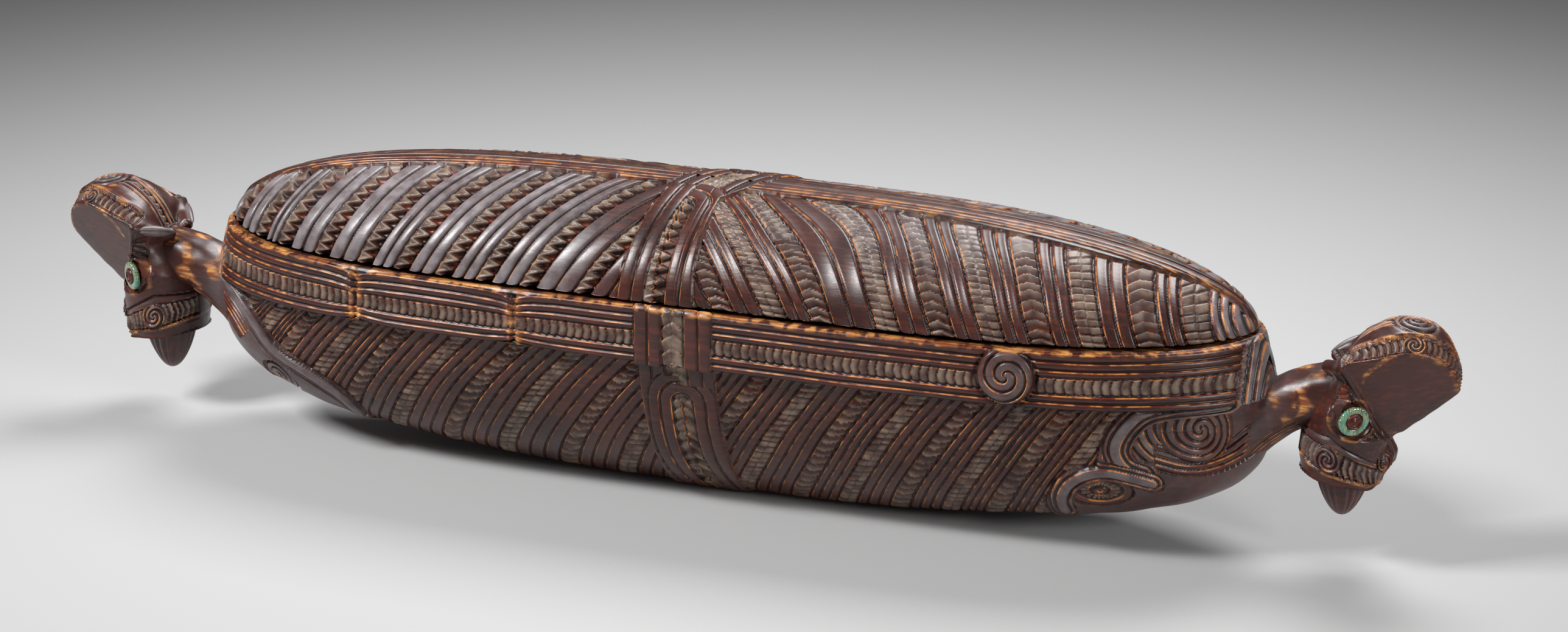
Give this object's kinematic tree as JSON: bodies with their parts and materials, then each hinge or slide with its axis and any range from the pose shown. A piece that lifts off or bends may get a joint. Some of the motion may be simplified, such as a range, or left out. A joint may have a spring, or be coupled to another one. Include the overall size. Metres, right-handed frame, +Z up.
{
  "type": "wakahuia treasure box",
  "caption": "Long carved wooden treasure box with a domed lift-off lid and a carved head at each end, its eyes inlaid with shell rings.",
  "frame": {"origin": "bottom centre: middle of the flat under the keel that the box stands on", "axes": "+X along the box towards the head nearer the camera, +Y across it away from the camera, +Z up"},
  "size_m": [0.5806, 0.114, 0.123],
  "materials": {
    "carved_wood": "hand rubbed, satin",
    "peg_wood": "hand rubbed, satin",
    "paua_shell": "polished nacre"
  },
  "bodies": {
    "box": {"box_body": "carved_wood", "eye_ring_right_near": "paua_shell", "eye_ring_right_far": "paua_shell", "eye_ring_left_near": "paua_shell", "eye_ring_left_far": "paua_shell", "eye_peg_right_near": "peg_wood", "eye_peg_right_far": "peg_wood", "eye_peg_left_near": "peg_wood", "eye_peg_left_far": "peg_wood"},
    "lid": {"lid": "carved_wood"}
  },
  "joints": [
    {"name": "lid_lift", "type": "slide", "parent": "box", "child": "lid", "axis": [0, 0, 1], "range_m": [0, 0.12]}
  ]
}
